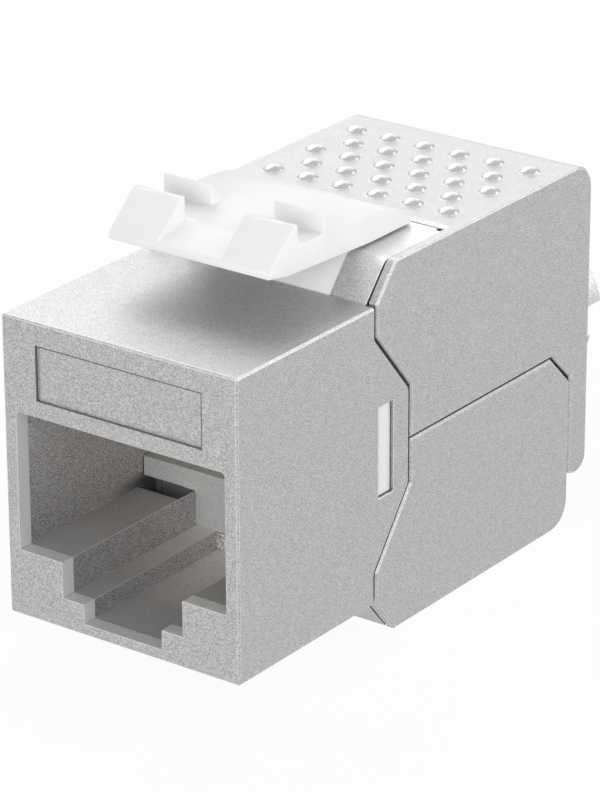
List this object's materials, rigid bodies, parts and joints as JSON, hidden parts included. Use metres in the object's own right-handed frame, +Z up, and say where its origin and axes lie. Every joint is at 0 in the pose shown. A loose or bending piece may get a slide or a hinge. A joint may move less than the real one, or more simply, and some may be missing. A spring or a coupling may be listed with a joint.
{
  "type": "keystone jack",
  "caption": "Shielded keystone jack: die-cast front with a stepped plug opening, snap latch on top, and hinged upper and lower rear doors that close over the wire cap and clamp the cable.",
  "frame": {"origin": "under the middle of the jack's box, at the level of the lower door's flat bottom", "axes": "+Y from the front face to the cable end, +Z up with the latch on top, +X to the right seen from the front face's left, so that -Y is the side the plug enters from"},
  "size_m": [0.0144, 0.037, 0.0231],
  "materials": {
    "zinc": "fine sand-blasted die-cast zinc, satin",
    "latch_plastic": "smooth white moulding",
    "insert_plastic": "smooth white moulding",
    "block_plastic": "smooth off-white moulding",
    "cap_plastic": "smooth white moulding",
    "board": "green solder mask",
    "contact_gold": "gold-plated spring bronze",
    "tinned_bronze": "tin-plated bronze"
  },
  "bodies": {
    "housing": {"front_housing": "zinc", "contact_carrier": "insert_plastic", "circuit_board": "board", "terminal_block": "block_plastic", "wire_cap": "cap_plastic", "contact_1": "contact_gold", "contact_2": "contact_gold", "contact_3": "contact_gold", "contact_4": "contact_gold", "contact_5": "contact_gold", "contact_6": "contact_gold", "contact_7": "contact_gold", "contact_8": "contact_gold", "terminal_1": "tinned_bronze", "terminal_2": "tinned_bronze", "terminal_3": "tinned_bronze", "terminal_4": "tinned_bronze", "terminal_5": "tinned_bronze", "terminal_6": "tinned_bronze", "terminal_7": "tinned_bronze", "terminal_8": "tinned_bronze"},
    "latch": {"keystone_latch": "latch_plastic"},
    "upper_door": {"upper_door": "zinc"},
    "lower_door": {"lower_door": "zinc"}
  },
  "joints": [
    {"name": "upper_door_hinge", "type": "hinge", "parent": "housing", "child": "upper_door", "pos_m": [0, -0.0052, 0.01865], "axis": [1, 0, 0], "range_deg": [0, 90]},
    {"name": "lower_door_hinge", "type": "hinge", "parent": "housing", "child": "lower_door", "pos_m": [0, -0.0052, 0.0019], "axis": [-1, 0, 0], "range_deg": [0, 90]},
    {"name": "latch_flex", "type": "hinge", "parent": "housing", "child": "latch", "pos_m": [0, -0.00519, 0.0194], "axis": [1, 0, 0], "range_deg": [0, 12], "stiffness_Nm_per_rad": 0.02}
  ],
  "couplings": [
    {"joint": "lower_door_hinge", "follows": "upper_door_hinge", "ratio": 1}
  ]
}
